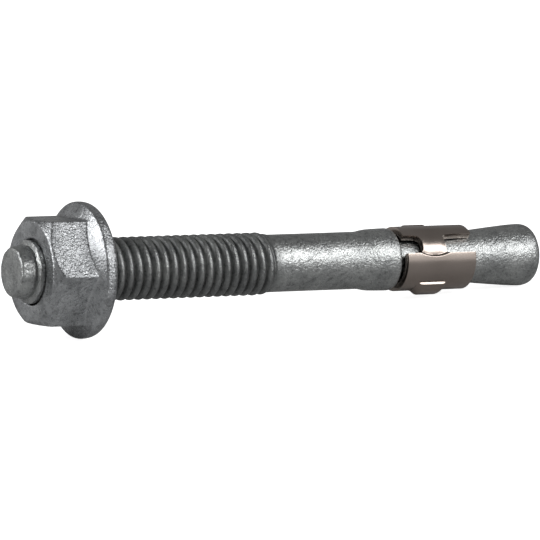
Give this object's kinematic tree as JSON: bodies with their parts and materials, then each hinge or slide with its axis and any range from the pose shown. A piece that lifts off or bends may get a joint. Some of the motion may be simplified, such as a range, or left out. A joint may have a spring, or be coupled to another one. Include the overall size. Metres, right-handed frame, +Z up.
{
  "type": "wedge anchor",
  "caption": "Steel wedge anchor with a flange nut on its thread, a swollen collar and an expansion clip folded round the neck behind a cone.",
  "frame": {"origin": "middle of the footprint of the lying anchor, on the surface that it lies on", "axes": "+Z up, +X from the threaded tip towards the cone along the length, +Y away from the side that the picture shows"},
  "size_m": [0.0752, 0.0172, 0.0171],
  "materials": {
    "galvanised_bolt": "hot-dip galvanised, mottled and slightly oily",
    "galvanised_nut": "hot-dip galvanised, mottled",
    "stainless_clip": "satin stainless sheet"
  },
  "bodies": {
    "bolt": {"anchor_bolt": "galvanised_bolt"},
    "nut": {"flange_nut": "galvanised_nut"},
    "clip": {"expansion_clip": "stainless_clip"}
  },
  "joints": [
    {"name": "nut_travel", "type": "slide", "parent": "bolt", "child": "nut", "axis": [0.9975, 0, -0.0712], "range_m": [-0.0055, 0.0245]},
    {"name": "clip_turn", "type": "hinge", "parent": "bolt", "child": "clip", "pos_m": [0.02119, 0, 0.00508], "axis": [0.9975, 0, -0.0712], "continuous": true}
  ]
}
